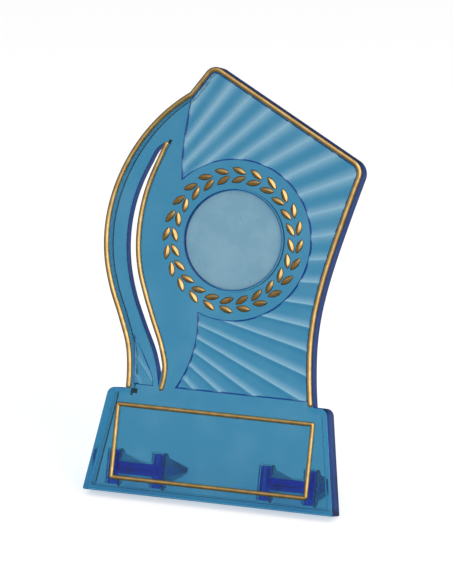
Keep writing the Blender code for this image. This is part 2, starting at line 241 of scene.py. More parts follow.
def neighbours(outline, closed):
    """Each corner's directions in and out, which are the same at an open end."""
    points = [Vector(c[:2]) for c in outline]
    last = len(points) - 1
    for i, here in enumerate(points):
        way_in = here - points[i - 1]
        way_out = points[(i + 1) % len(points)] - here
        if not closed and i == 0:
            way_in = way_out
        if not closed and i == last:
            way_out = way_in
        yield here, way_in.normalized(), way_out.normalized()


def moved_left(outline, distance, closed=True):
    """The outline moved to the left of its direction, which is inwards on a closed one."""
    result = []
    for (here, way_in, way_out), (_, _, radius) in zip(neighbours(outline, closed), outline):
        normal = (way_in + way_out).orthogonal().normalized()
        mitre = max(normal.dot(way_in.orthogonal()), MITRE_LIMIT)
        turn = 1 if way_in.cross(way_out) > 0 else -1
        kept = max(radius - turn * distance, LEAST_RADIUS) if radius else 0.0
        result.append(corner(here + normal * distance / mitre, kept))
    return result


def traced(outline, closed=True, step_degrees=6):
    """The outline's points, with its rounded corners as arcs."""
    points = []
    for (here, way_in, way_out), (_, _, radius) in zip(neighbours(outline, closed), outline):
        turn = way_in.angle_signed(way_out, 0)
        if not radius or abs(turn) < STRAIGHT:
            points.append(here)
            continue
        start = here - way_in * radius * math.tan(abs(turn) / 2)
        side = way_in.orthogonal() * math.copysign(radius, way_in.cross(way_out))
        centre = start + side
        steps = max(3, round(math.degrees(abs(turn)) / step_degrees))
        for step in range(steps + 1):
            angle = math.copysign(abs(turn), way_in.cross(way_out)) * step / steps
            spoke = start - centre
            points.append(centre + Vector((spoke.x * math.cos(angle) - spoke.y * math.sin(angle),
                                           spoke.x * math.sin(angle) + spoke.y * math.cos(angle))))
    return points


def rim_line():
    """The rim bead's centre line, from the base's left up, over the peak and down."""
    left, right = smooth_run(RIM_LEFT), smooth_run(RIM_RIGHT)
    return [*left, corner(PEAK, PEAK_CORNER), corner(SHOULDER, SHOULDER_CORNER), *right]


def body_outline():
    """The moulding's edge above the base, anticlockwise, with its foot inside the base."""
    edge = moved_left(rim_line(), RIM_MARGIN, closed=False)
    inside = BASE_TOP - 2 * BASE_WALL
    return [corner((edge[0][0], inside)), corner((edge[-1][0], inside)), *reversed(edge)]


def base_outline():
    return [corner((-BASE_HALF_BOTTOM, BASE_BOTTOM), BASE_FOOT_CORNER),
            corner((BASE_HALF_BOTTOM, BASE_BOTTOM), BASE_FOOT_CORNER),
            corner((BASE_HALF_TOP, BASE_TOP), BASE_CORNER),
            corner((-BASE_HALF_TOP, BASE_TOP), BASE_CORNER)]


def body_hollow_outline():
    """The inside of the skirt, run down into the base's hollow."""
    inner = moved_left(body_outline(), SKIRT_WALL)
    low = BASE_TOP - 3 * BASE_WALL
    return [corner((inner[0][0], low)), corner((inner[1][0], low)), *inner[2:]]


def slot_outline():
    """The open slot, anticlockwise: down its left side and up along the flame line."""
    left = smooth_run([SLOT_TOP, *SLOT_LEFT, SLOT_BOTTOM])
    line = smooth_run(FLAME_LINE[SLOT_STRETCH])
    reach = FLAME_BEAD_WIDTH / 2 + SLOT_GAP
    right = moved_left(line, -reach, closed=False)
    return [*left, *reversed(right)]


def divided(points, longest):
    """The closed run of points, with more of them where two lie further apart than that."""
    result = []
    for a, b in zip(points, points[1:] + points[:1]):
        parts = math.ceil((b - a).length / longest)
        result += [a.lerp(b, part / parts) for part in range(parts)]
    return result


def ray_field_outline(ledge=LEDGE):
    """Right of the ledge, up the rim, over to the peak, then back down by flame and ring."""
    rim = moved_left(rim_line(), -RAY_MARGIN, closed=False)
    kink = len(smooth_run(RIM_LEFT)) - 1
    above_ledge = [c for c in reversed(rim[kink:]) if c[1] > ledge + LEDGE_CLEARANCE]
    ledge_end = corner((above_ledge[0][0], ledge))
    upper = smooth_run(FLAME_UPPER_EDGE)
    lower = smooth_run([(FLAME_LOWER_EDGE[0][0], ledge), *FLAME_LOWER_EDGE[1:]])
    turn = RING_TO - RING_FROM
    angles = [RING_TO - turn * step / RING_STEPS for step in range(RING_STEPS + 1)]
    ring = [corner((RING_RADIUS * math.cos(a), RING_RADIUS * math.sin(a))) for a in angles]
    outline = [ledge_end, *above_ledge, *upper, *ring, *reversed(lower)]
    return [corner(p) for p in divided(traced(outline), FIELD_LONGEST_SIDE)]


def circle(radius, steps=DISC_STEPS):
    turns = [math.tau * step / steps for step in range(steps)]
    return [corner((radius * math.cos(a), radius * math.sin(a))) for a in turns]


def h_outline(centre_u, round_off=0.0):
    """The feet's H section, anticlockwise from the left bar's lower left corner."""
    right_half = [(BAR_OFFSET - BAR_WIDTH / 2, -CROSS_BAR / 2, 0),
                  (BAR_OFFSET - BAR_WIDTH / 2, -BAR_HEIGHT / 2, round_off),
                  (BAR_OFFSET + BAR_WIDTH / 2, -BAR_HEIGHT / 2, round_off),
                  (BAR_OFFSET + BAR_WIDTH / 2, BAR_HEIGHT / 2, round_off),
                  (BAR_OFFSET - BAR_WIDTH / 2, BAR_HEIGHT / 2, round_off),
                  (BAR_OFFSET - BAR_WIDTH / 2, CROSS_BAR / 2, 0)]
    left_half = [(-u, -v, r) for u, v, r in right_half]
    return [corner((centre_u + u, FOOT_CENTRE_V + v), r) for u, v, r in right_half + left_half]


def frame_corners():
    corners = ((FRAME_LEFT, FRAME_LOW), (FRAME_RIGHT, FRAME_LOW), (FRAME_RIGHT, FRAME_HIGH),
               (FRAME_LEFT, FRAME_HIGH))
    return [corner(c, FRAME_CORNER) for c in corners]


def flute_depth(u, v):
    """How deep the fluted surface lies: shallow at each ray's crest, scooped between rays."""
    arm = Vector((u, v)) - RAY_POLE
    phase = (math.atan2(arm.y, arm.x) - RAY_FIRST) / RAY_STEP
    across = 2 * (phase - math.floor(phase)) - 1
    scoop = 1 - across * across
    scoop = math.hypot(scoop, RAY_CREST_ROUND) - RAY_CREST_ROUND
    amount = min(RAY_SCALLOP * arm.length * RAY_STEP, RAY_DEEPEST)
    return RAY_CREST_DEPTH + amount * scoop


# Meshes, in metres on the plate's own axes: u, depth, v

def place(point, depth):
    return Vector((point[0] * MM, depth * MM, point[1] * MM))


def solid(name, bm):
    """A mesh object standing on the plate's axes."""
    bmesh.ops.recalc_face_normals(bm, faces=bm.faces)
    mesh = bpy.data.meshes.new(name)
    bm.to_mesh(mesh)
    bm.free()
    made = bpy.data.objects.new(name, mesh)
    bpy.context.scene.collection.objects.link(made)
    made.matrix_world = PLATE
    return made


def add_loft(bm, rings, closed_ends=True):
    """A skin over rings of points; each ring closes on itself."""
    made = [[bm.verts.new(p) for p in ring] for ring in rings]
    pairs = list(zip(made, made[1:]))
    if not closed_ends:
        pairs.append((made[-1], made[0]))
    for ring, following in pairs:
        for i in range(len(ring)):
            bm.faces.new((ring[i - 1], ring[i], following[i], following[i - 1]))
    if closed_ends:
        bm.faces.new(made[0])
        bm.faces.new(made[-1])


def prism(name, outline, near, far, round_near=0.0, round_far=0.0):
    """The outline's area between two depths, its edges rounded by those radii."""
    levels = []
    for depth, radius, way in ((near, round_near, 1), (far, round_far, -1)):
        steps = ROUND_STEPS if radius else 0
        here = []
        for step in range(steps + 1):
            angle = math.pi / 2 * step / max(steps, 1)
            inset = radius * (1 - math.sin(angle))
            here.append((depth + way * radius * (1 - math.cos(angle)), inset))
        levels += here if way > 0 else list(reversed(here))
    rings = []
    for depth, inset in levels:
        moved = moved_left(outline, inset) if inset > TINY else outline
        rings.append([place(p, depth) for p in traced(moved)])
    bm = bmesh.new()
    add_loft(bm, rings)
    return solid(name, bm)


def hole(name, outline, far, lip=LIP):
    """A cutter for a hole from the front, with a small chamfer where it opens."""
    wide = moved_left(outline, -lip)
    levels = ((wide, CUT_FRONT), (wide, -FACE_GAP), (outline, lip), (outline, far))
    rings = [[place(p, depth) for p in traced(shape)] for shape, depth in levels]
    bm = bmesh.new()
    add_loft(bm, rings)
    return solid(name, bm)


def side_prism(name, profile, low_u, high_u):
    """A profile of (depth, v) points, drawn out from one u to another."""
    rings = [[place((u, v), depth) for depth, v in profile] for u in (low_u, high_u)]
    bm = bmesh.new()
    add_loft(bm, rings)
    return solid(name, bm)


def inside(point, ring):
    """True if the point is inside the closed ring of points."""
    found = False
    for a, b in zip(ring, ring[1:] + ring[:1]):
        if (a.y > point.y) != (b.y > point.y):
            if point.x < a.x + (point.y - a.y) / (b.y - a.y) * (b.x - a.x):
                found = not found
    return found


def fluted_sheet(bm, outline, offset):
    """The fluted surface over an outline, as triangles; returns its outline's vertices."""
    ring = [Vector(c[:2]) for c in outline]
    fence = [Vector(c[:2]) for c in moved_left(outline, FIELD_INSET)]
    arms = [p - RAY_POLE for p in ring]
    low = min(math.atan2(a.y, a.x) for a in arms)
    high = max(math.atan2(a.y, a.x) for a in arms)
    far = max(a.length for a in arms)
    spots = list(ring)
    first = math.floor((low - RAY_FIRST) / RAY_STEP)
    last = math.ceil((high - RAY_FIRST) / RAY_STEP)
    for ray in range(first, last + 1):
        for share in RAY_SAMPLES:
            angle = RAY_FIRST + (ray + share) * RAY_STEP
            way = Vector((math.cos(angle), math.sin(angle)))
            reach = RAY_START
            while reach < far:
                spot = RAY_POLE + way * reach
                if inside(spot, fence):
                    spots.append(spot)
                reach += RAY_SPACING
    loop = list(range(len(ring)))
    points, _, faces, *_ = delaunay_2d_cdt(spots, [], [loop], 1, TINY)
    verts = [bm.verts.new(place(p, flute_depth(p.x, p.y) + offset)) for p in points]
    for face in faces:
        bm.faces.new([verts[i] for i in face])
    return verts[:len(ring)]


def fluted_cutter(name, outline):
    """A cutter whose far end is the fluted surface, chamfered where it opens."""
    bm = bmesh.new()
    rim = fluted_sheet(bm, moved_left(outline, FIELD_DRAFT), 0.0)
    wide = moved_left(outline, -LIP)
    levels = ((outline, LIP), (wide, -FACE_GAP), (wide, CUT_FRONT))
    for shape, depth in levels:
        ring = [bm.verts.new(place(p, depth)) for p in shape]
        for i in range(len(ring)):
            bm.faces.new((rim[i - 1], rim[i], ring[i], ring[i - 1]))
        rim = ring
    bm.faces.new(rim)
    return solid(name, bm)


def fluted_backing(name, outline):
    """The same flutes standing out of the skin's back, so that the moulding keeps its wall."""
    bm = bmesh.new()
    rim = fluted_sheet(bm, outline, SKIN - RAY_CREST_DEPTH + REAR_SET_BACK)
    ring = [bm.verts.new(place(p, SKIN - EMBED / 4)) for p in outline]
    for i in range(len(ring)):
        bm.faces.new((rim[i - 1], rim[i], ring[i], ring[i - 1]))
    bm.faces.new(ring)
    return solid(name, bm)


def run_lengths(points):
    total, lengths = 0.0, [0.0]
    for a, b in zip(points, points[1:]):
        total += (b - a).length
        lengths.append(total)
    return lengths


def round_ended(points, width):
    """An open line's points with closer ones at both ends, each with its section's size."""
    lengths = run_lengths(points)
    total, half = lengths[-1], width / 2
    marks = [half * (1 - math.cos(math.pi / 2 * k / BEAD_END_STEPS)) + BEAD_END_START
             for k in range(BEAD_END_STEPS + 1)]
    stops = marks + [s for s in lengths
                     if half + BEAD_END_CLEARANCE < s < total - half - BEAD_END_CLEARANCE]
    stops += [total - m for m in reversed(marks)]
    result, i = [], 0
    for stop in stops:
        while lengths[i + 1] < stop:
            i += 1
        share = (stop - lengths[i]) / (lengths[i + 1] - lengths[i])
        near = min(stop, total - stop, half)
        size = math.sqrt(max(1 - (1 - near / half) ** 2, 0))
        result.append((points[i].lerp(points[i + 1], share), size))
    return result


def bead(name, line, width, closed=False):
    """A half-round bead swept along a line, with domed ends unless it closes on itself."""
    points = traced([corner(c, c[2]) for c in line], closed)
    spots = [(p, 1.0) for p in points] if closed else round_ended(points, width)
    rings = []
    for (here, way_in, way_out), (_, size) in zip(neighbours([s[0] for s in spots], closed),
                                                  spots):
        normal = (way_in + way_out).orthogonal().normalized()
        mitre = normal.dot(way_in.orthogonal())
        ring = []
        for facet in range(BEAD_FACETS + 1):
            angle = math.pi * facet / BEAD_FACETS
            across = normal * math.cos(angle) * size * width / 2 / mitre
            ring.append(place(here + across, SINK - (BEAD_HEIGHT + SINK) * size * math.sin(angle)))
        rings.append(ring)
    bm = bmesh.new()
    add_loft(bm, rings, closed_ends=not closed)
    return solid(name, bm)


def add_leaf(bm, middle, turn):
    """One pointed leaf with a ridge down its middle, its flanks slightly full."""
    along = Vector((math.cos(turn), math.sin(turn)))
    aside = along.orthogonal()
    rows = []
    for i in range(LEAF_STATIONS + 1):
        s = -1 + 2 * i / LEAF_STATIONS
        half = LEAF_WIDTH / 2 * (1 - s * s) ** LEAF_TAPER
        crown = LEAF_HEIGHT * (1 - abs(s) ** LEAF_CROWN) ** LEAF_FULLNESS
        bend = middle + along * s * LEAF_LENGTH / 2
        row = []
        for j in range(-LEAF_FLANK, LEAF_FLANK + 1):
            x = j / LEAF_FLANK
            rise = crown * (1 - abs(x)) ** LEAF_FULLNESS
            lift = LEAF_TIP_LIFT * (i in (0, LEAF_STATIONS))
            row.append(place(bend + aside * half * x, SINK - rise - lift))
        rows.append(row)
    tip, tail = bm.verts.new(rows[0][LEAF_FLANK]), bm.verts.new(rows[-1][LEAF_FLANK])
    made = [[bm.verts.new(p) for p in row] for row in rows[1:-1]]
    for row, following in zip(made, made[1:]):
        for j in range(2 * LEAF_FLANK):
            bm.faces.new((row[j], row[j + 1], following[j + 1], following[j]))
    for j in range(2 * LEAF_FLANK):
        bm.faces.new((tip, made[0][j + 1], made[0][j]))
        bm.faces.new((tail, made[-1][j], made[-1][j + 1]))
    foot = [tip, *(row[0] for row in made), tail, *(row[-1] for row in reversed(made))]
    bm.faces.new(foot)


def leaves(name, ring):
    bm = bmesh.new()
    for pair in range(LEAF_PAIRS):
        angle = math.tau * pair / LEAF_PAIRS
        middle = Vector((math.cos(angle), math.sin(angle))) * ring["radius"]
        add_leaf(bm, middle, angle - math.pi / 2 - ring["tilt"])
    return solid(name, bm)


def combine(target, steps):
    """Joins or cuts the target with each tool in turn, for good, and clears the tools away."""
    for tool, operation in steps:
        change = target.modifiers.new(tool.name, "BOOLEAN")
        change.operation, change.solver, change.object = operation, "EXACT", tool
    graph = bpy.context.evaluated_depsgraph_get()
    graph.update()
    mesh = bpy.data.meshes.new_from_object(target.evaluated_get(graph))
    target.modifiers.clear()
    target.data = mesh
    for tool, _ in steps:
        bpy.data.objects.remove(tool)
    return target


def smooth(piece, degrees=35):
    """Smooth shading up to that angle; the flat front and rear faces keep crisp outlines."""
    mesh = piece.data
    for polygon in mesh.polygons:
        polygon.use_smooth = True
    mesh.set_sharp_from_angle(angle=math.radians(degrees))
    flats = {}
    for polygon in mesh.polygons:
        if abs(polygon.normal.y) > FLAT_FACING and polygon.area > FLAT_AREA:
            for key in polygon.edge_keys:
                flats[key] = flats.get(key, 0) + 1
    for edge in mesh.edges:
        if flats.get(tuple(sorted(edge.vertices))) == 1:
            edge.use_edge_sharp = True
    return piece


def floor_block(name):
    """A block whose top is the surface the trophy stands on."""
    reach, height, half = (FLOOR_BLOCK[key] for key in ("reach", "height", "half_width"))
    block = side_prism(name, [(-reach, -height), (reach, -height), (reach, 0), (-reach, 0)],
                       -half, half)
    shift = Matrix.Translation(place((0, BASE_BOTTOM), BASE_DEPTH)
                               + Vector((0, -math.sin(LEAN), math.cos(LEAN))) * FLOOR_TRIM * MM)
    block.matrix_world = PLATE @ shift @ Matrix.Rotation(LEAN, 4, "X")
    return block


def blue_moulding():
    """The one-piece moulding: face, skirt, base box, slot, flutes, seat and sockets."""
    body = prism("blue_moulding", body_outline(), 0, SKIRT_DEPTH, EDGE, EDGE / 2)
    base = base_outline()
    past = BASE_DEPTH + OVERCUT
    steps = [(prism("base_box", base, 0, BASE_DEPTH, EDGE, EDGE / 2), "UNION")]
    for name, outline, near, far in (
            ("skirt_hollow", body_hollow_outline(), SKIN, past),
            ("base_hollow", moved_left(base, BASE_STEP_WALL), SKIN, BASE_STEP_DEPTH + EMBED),
            ("base_hollow_rear", moved_left(base, BASE_WALL), BASE_STEP_DEPTH, past)):
        steps.append((prism(name, outline, near, far), "DIFFERENCE"))
    slot = slot_outline()
    boss = circle(SEAT_RADIUS + SEAT_WALL)
    steps.append((prism("slot_wall", moved_left(slot, -SLOT_WALL), EMBED, SLOT_WALL_DEPTH),
                  "UNION"))
    steps.append((prism("seat_boss", boss, EMBED, SEAT_DEPTH + SEAT_FLOOR), "UNION"))
    steps.append((fluted_backing("rear_flutes", ray_field_outline(REAR_LEDGE)), "UNION"))
    cuts = [hole("slot_hole", slot, past, SLOT_LIP),
            hole("seat_hole", circle(SEAT_RADIUS), SEAT_DEPTH),
            fluted_cutter("ray_field", ray_field_outline()),
            fluted_cutter("small_ray_field", [corner(p) for p in SMALL_FIELD]),
            prism("label_panel", moved_left(frame_corners(), LABEL_MARGIN), -EMBED, LABEL_DEPTH)]
    for side in (-1, 1):
        section = h_outline(side * FOOT_CENTRE_U)
        collar = prism("socket", moved_left(section, -(GAP + SOCKET_WALL)), EMBED, SOCKET_END)
        steps.append((collar, "UNION"))
        well = prism("well", moved_left(section, -GAP), FOOT_FRONT - GAP, SOCKET_END + OVERCUT)
        cuts.append(well)
    cuts.append(floor_block("floor_cut"))
    steps += [(cut, "DIFFERENCE") for cut in cuts]
    return smooth(combine(body, steps))


def foot(name, side):
    """One foot: its H-shaped plug, two gussets and the web between them."""
    centre = side * FOOT_CENTRE_U
    plug = prism(name, h_outline(centre, PLUG_CORNER), FOOT_FRONT, PLUG_END, *PLUG_EDGES)
    sunk = PLUG_END - EMBED
    steps = []
    for at in (-BAR_OFFSET, BAR_OFFSET):
        root, tip = BAR_HEIGHT / 2 - EMBED, GUSSET_TIP / 2
        profile = [(sunk, -root), (PLUG_END, -root), (FOOT_REACH, -tip), (FOOT_REACH, tip),
                   (PLUG_END, root), (sunk, root)]
        profile = [(d, FOOT_CENTRE_V + v) for d, v in profile]
        low = centre + at - GUSSET / 2
        steps.append((side_prism("gusset", profile, low, low + GUSSET), "UNION"))
    root, tip = (CROSS_BAR - EMBED) / 2, WEB_TIP / 2
    profile = [(sunk, -root), (PLUG_END, -root), (WEB_REACH, -tip), (WEB_REACH, tip),
               (PLUG_END, root), (sunk, root)]
    profile = [(d, FOOT_CENTRE_V + v) for d, v in profile]
    steps.append((side_prism("web", profile, centre - BAR_OFFSET, centre + BAR_OFFSET), "UNION"))
    piece = combine(plug, steps)
    bevel = piece.modifiers.new("eased_edges", "BEVEL")
    bevel.width, bevel.segments, bevel.limit_method = FOOT_EDGE * MM, 2, "ANGLE"
    bevel.angle_limit = FOOT_EDGE_ANGLE
    return smooth(combine(piece, [(floor_block("floor_cut"), "DIFFERENCE")]))


# Finishes

# Each set of tints: the plastic's own tint, a deep tint used as painted shade, and a pale tint for
# haze and, on the blue, for painted highlight on the crests
BLUE_TINTS = ((0.042, 0.232, 0.39, 1), (0.0005, 0.009, 0.13, 1), (0.36, 0.56, 0.68, 1))
BLUE_SOAK = (0.35, 0.88, 0.99, 1)
BLUE_DENSITY = 70
BLUE_POLISH = 0.06
NAVY_TINTS = ((0.36, 0.82, 0.99, 1), (0.02, 0.07, 0.75, 1), (0.42, 0.8, 0.99, 1))
NAVY_SOAK = (0.2, 0.58, 0.94, 1)
NAVY_DENSITY = 75
NAVY_POLISH = 0.08
LAMP_TINT = (0.85, 0.94, 0.98, 1)
CLEAR_WALL = (0.9, 0.96, 1, 1)
DUST_COLOUR = (0.5, 0.62, 0.7, 1)
HAZE_TINT = 0.07
DUST_AMOUNT = 0.3
# How much painted shade and painted highlight the flutes take into their hue
SHADE_AMOUNT = 0.3
CREST_HIGHLIGHT_AMOUNT = 0.66
FLUTE_ROUGHNESS = 0.16
WALL_ROUGHNESS = 0.35
HAZE_ROUGHNESS = 0.08
PLASTIC_IOR = 1.49
# The painted crest highlight and the painted shade beside it: where they change sides, and how far
# they reach
FAN_TURN = (math.radians(-6), math.radians(24))  # over which the crests change sides
CREST_HIGHLIGHT_REACH, CREST_HIGHLIGHT_POWER = 0.42, 1.5
SHADE_REACH, SHADE_POWER = 0.25, 1.4
SHADE_START = (0.02, 0.09)
GILT_TONES = ((0.60, 0.375, 0.135, 1), (0.74, 0.50, 0.21, 1))
# The colour of the painted shade at each bead's foot
GILT_FOOT_SHADE = (0.05, 0.028, 0.014, 1)
GILT_ROUGHNESS = (0.32, 0.42)
DISC_TONES = ((0.105, 0.222, 0.30, 1), (0.135, 0.25, 0.325, 1))
DISC_SPECK = (0.03, 0.10, 0.18, 1)
DISC_ROUGHNESS = 0.62
# Painted shade on the foot's plug front fades out between these depths
PLUG_SHADE_FROM, PLUG_SHADE_TO = FOOT_FRONT + 0.3, FOOT_FRONT + 0.6  # the plug's front against the skin

# Which of the moulding's faces count as flutes, and which as side walls
FLUTE_FACING = 0.8
FLUTE_FRONT_DEPTHS = (0.1, 1.9)
FLUTE_REAR_DEPTHS = (SKIN + 0.02, 4)
WALL_FACING = 0.75
FRONT_WALL_DEPTH = SKIN - 0.1


def link(tree, source, target):
    tree.links.new(source, target)


def new_finish(name):
    """A material with a Principled shader, and that shader."""
    material = bpy.data.materials.new(name)
    material.use_nodes = True
    return material, material.node_tree, material.node_tree.nodes["Principled BSDF"]


def group(name, inputs, outputs):
    """A node group with those named inputs and outputs, and its two end nodes."""
    tree = bpy.data.node_groups.new(name, "ShaderNodeTree")
    for label, kind, value in inputs:
        made = tree.interface.new_socket(label, in_out="INPUT", socket_type="NodeSocket" + kind)
        if value is not None:
            made.default_value = value
    for label, kind in outputs:
        tree.interface.new_socket(label, in_out="OUTPUT", socket_type="NodeSocket" + kind)
    return tree, tree.nodes.new("NodeGroupInput"), tree.nodes.new("NodeGroupOutput")


def placed(tree, node_group, **values):
    node = tree.nodes.new("ShaderNodeGroup")
    node.node_tree = node_group
    for label, value in values.items():
        node.inputs[label.replace("_", " ")].default_value = value
    return node


def math_node(tree, operation, a, b=None, clamp=False):
    node = tree.nodes.new("ShaderNodeMath")
    node.operation, node.use_clamp = operation, clamp
    for socket, value in zip(node.inputs, (a, b)):
        if value is None:
            continue
        if isinstance(value, (int, float)):
            socket.default_value = value
        else:
            tree.links.new(value, socket)
    return node.outputs[0]


def mixed(tree, factor, a, b):
    """A colour between a and b."""
    node = tree.nodes.new("ShaderNodeMix")
    node.data_type = "RGBA"
    for index, value in ((0, factor), (6, a), (7, b)):
        if isinstance(value, (int, float, tuple)):
            node.inputs[index].default_value = value
        else:
            tree.links.new(value, node.inputs[index])
    return node.outputs[2]


def noise(tree, where, scale, detail=3.0, rough=0.5):
    node = tree.nodes.new("ShaderNodeTexNoise")
    node.inputs["Scale"].default_value = scale
    node.inputs["Detail"].default_value = detail
    node.inputs["Roughness"].default_value = rough
    tree.links.new(where, node.inputs["Vector"])
    return node.outputs["Fac"]


def span(tree, value, low, high, to_low=0.0, to_high=1.0):
    """The value's range from low to high, stretched to another range and held there."""
    node = tree.nodes.new("ShaderNodeMapRange")
    node.interpolation_type = "SMOOTHSTEP"
    for label, number in (("From Min", low), ("From Max", high), ("To Min", to_low),
                          ("To Max", to_high)):
        node.inputs[label].default_value = number
    tree.links.new(value, node.inputs["Value"])
    return node.outputs["Result"]


def plate_place(tree):
    """Where a point is on the plaque's own axes, in millimetres: u, depth and v."""
    node = tree.nodes.new("ShaderNodeAttribute")
    node.attribute_name = "plate_place"
    return node.outputs["Vector"]


def face_value(tree, name):
    node = tree.nodes.new("ShaderNodeAttribute")
    node.attribute_name = name
    return node.outputs["Fac"]


def moulded_surface():
    """Handling haze, fine dust and the slow waves of a moulded face."""
    tree, start, end = group("moulded_surface", [("Haze", "Float", 0.5), ("Dust", "Float", 0.5)],
                             [("Haze Mask", "Float"), ("Dust Mask", "Float"),
                              ("Wave Height", "Float")])
    where = plate_place(tree)
    cloud = span(tree, noise(tree, where, 0.045, 5, 0.6), 0.42, 0.72)
    link(tree, math_node(tree, "MULTIPLY", cloud, start.outputs["Haze"]), end.inputs[0])
    fleck = span(tree, noise(tree, where, 0.9, 2, 0.4), 0.72, 0.80)
    link(tree, math_node(tree, "MULTIPLY", fleck, start.outputs["Dust"]), end.inputs[1])
    link(tree, noise(tree, where, 0.03, 2, 0.4), end.inputs[2])
    return tree


def ray_highlight_and_shade():
    """Painted highlight on the crests of the fan of rays and painted shade beside them, from the
    fan's own pole.
    """
    tree, _, end = group("ray_highlight_and_shade", [], [("Crest Highlight", "Float"), ("Shade", "Float")])
    axes = tree.nodes.new("ShaderNodeSeparateXYZ")
    link(tree, plate_place(tree), axes.inputs[0])
    east = math_node(tree, "SUBTRACT", axes.outputs["X"], RAY_POLE.x)
    north = math_node(tree, "SUBTRACT", axes.outputs["Z"], RAY_POLE.y)
    angle = math_node(tree, "ARCTAN2", north, east)
    turned = math_node(tree, "SUBTRACT", angle, RAY_FIRST)
    share = math_node(tree, "FRACT", math_node(tree, "DIVIDE", turned, RAY_STEP))
    back = math_node(tree, "SUBTRACT", 1.0, share)
    high = span(tree, angle, *FAN_TURN)
    low = math_node(tree, "SUBTRACT", 1.0, high)
    near = math_node(tree, "MINIMUM", share, back)
    # Painted highlight by each crest and painted shade beside it, on sides that change across the
    # fan
    for label, first, second, reach, power in (
            ("Crest Highlight", share, near, CREST_HIGHLIGHT_REACH, CREST_HIGHLIGHT_POWER),
            ("Shade", back, share, SHADE_REACH, SHADE_POWER)):
        sides = []
        for way, weight in ((first, low), (second, high)):
            fall = math_node(tree, "SUBTRACT", 1.0, math_node(tree, "DIVIDE", way, reach),
                             clamp=True)
            curve = math_node(tree, "POWER", fall, power)
            sides.append(math_node(tree, "MULTIPLY", curve, weight))
        total = math_node(tree, "ADD", *sides)
        if label == "Shade":
            total = math_node(tree, "MULTIPLY", total, span(tree, near, *SHADE_START))
        link(tree, total, end.inputs[label])
    return tree


def bump(tree, height, strength, distance):
    node = tree.nodes.new("ShaderNodeBump")
    node.inputs["Strength"].default_value = strength
    node.inputs["Distance"].default_value = distance
    tree.links.new(height, node.inputs["Height"])
    return node.outputs["Normal"]


def let_lamps_through(tree, shader, tint):
    """Lamps reach through the clear plastic, tinted by it."""
    path = tree.nodes.new("ShaderNodeLightPath")
    clear = tree.nodes.new("ShaderNodeBsdfTransparent")
    clear.inputs["Color"].default_value = tint
    mix = tree.nodes.new("ShaderNodeMixShader")
    link(tree, path.outputs["Is Shadow Ray"], mix.inputs[0])
    link(tree, shader.outputs[0], mix.inputs[1])
    link(tree, clear.outputs[0], mix.inputs[2])
    link(tree, mix.outputs[0], tree.nodes["Material Output"].inputs["Surface"])


def soak(tree, colour, density):
    """Colour taken up along the light's way through the plastic."""
    node = tree.nodes.new("ShaderNodeVolumeAbsorption")
    node.inputs["Color"].default_value = colour
    node.inputs["Density"].default_value = density
    link(tree, node.outputs[0], tree.nodes["Material Output"].inputs["Volume"])


def fluted_look(tree, rays, hue, tints, polish):
    """The hue and roughness of the moulding: painted highlight on the crests, painted shade beside
    them and on the outer side walls, and clear inner walls, each in its own tint.
    """
    _, shade_tint, haze_and_highlight_tint = tints
    fluted = face_value(tree, "fluted")
    fan = placed(tree, rays)
    # Painted shade beside each crest, then painted highlight on the crest, mixed into the hue
    shade = math_node(tree, "MULTIPLY", fan.outputs["Shade"], fluted)
    hue = mixed(tree, math_node(tree, "MULTIPLY", shade, SHADE_AMOUNT), hue, shade_tint)
    crest = math_node(tree, "MULTIPLY", fan.outputs["Crest Highlight"], fluted)
    hue = mixed(tree, math_node(tree, "MULTIPLY", crest, CREST_HIGHLIGHT_AMOUNT), hue, haze_and_highlight_tint)
    rough = span(tree, fluted, 0, 1, polish, FLUTE_ROUGHNESS)
    wall = face_value(tree, "wall_shade")
    inner = tree.nodes.new("ShaderNodeNewGeometry").outputs["Backfacing"]
    outer = math_node(tree, "SUBTRACT", 1.0, inner)
    clear = math_node(tree, "MULTIPLY", math_node(tree, "ABSOLUTE", wall), inner, clamp=True)
    clear = math_node(tree, "MAXIMUM", clear, span(tree, wall, -1, 0, 1, 0))
    hue = mixed(tree, clear, hue, CLEAR_WALL)
    # Painted shade: outer side walls take the shade tint
    side = math_node(tree, "MULTIPLY", span(tree, wall, 0, 1), outer)
    hue = mixed(tree, side, hue, shade_tint)
    side_rough = math_node(tree, "MULTIPLY", side, WALL_ROUGHNESS)
    return hue, math_node(tree, "MAXIMUM", rough, side_rough)


def plug_shade_look(tree, hue, shade_tint):
    """The foot's hue, with painted shade: deeper where its plug is pressed against the skin."""
    axes = tree.nodes.new("ShaderNodeSeparateXYZ")
    link(tree, plate_place(tree), axes.inputs[0])
    plug_shade = span(tree, axes.outputs["Y"], PLUG_SHADE_FROM, PLUG_SHADE_TO, 1, 0)
    return mixed(tree, plug_shade, hue, shade_tint)


def clear_plastic(name, tints, soaked, density, polish, surface, rays=None):
    """Tinted clear plastic: polished on its flat faces, satin where fluted, with painted highlight
    and shade.
    """
    material, tree, shader = new_finish(name)
    tint, shade_tint, haze_and_highlight_tint = tints
    marks = placed(tree, surface, Haze=1.0, Dust=1.0)
    haze = marks.outputs["Haze Mask"]
    hue = mixed(tree, math_node(tree, "MULTIPLY", haze, HAZE_TINT), tint, haze_and_highlight_tint)
    if rays:
        hue, rough = fluted_look(tree, rays, hue, tints, polish)
    else:
        hue, rough = plug_shade_look(tree, hue, shade_tint), polish
    dust = math_node(tree, "MULTIPLY", marks.outputs["Dust Mask"], DUST_AMOUNT)
    link(tree, mixed(tree, dust, hue, DUST_COLOUR), shader.inputs["Base Color"])
    hazed = math_node(tree, "MULTIPLY", haze, HAZE_ROUGHNESS)
    link(tree, math_node(tree, "ADD", hazed, rough), shader.inputs["Roughness"])
    link(tree, bump(tree, marks.outputs["Wave Height"], 0.1, 0.0004), shader.inputs["Normal"])
    shader.inputs["Transmission Weight"].default_value = 1.0
    shader.inputs["IOR"].default_value = PLASTIC_IOR
    soak(tree, soaked, density)
    let_lamps_through(tree, shader, LAMP_TINT)
    return material


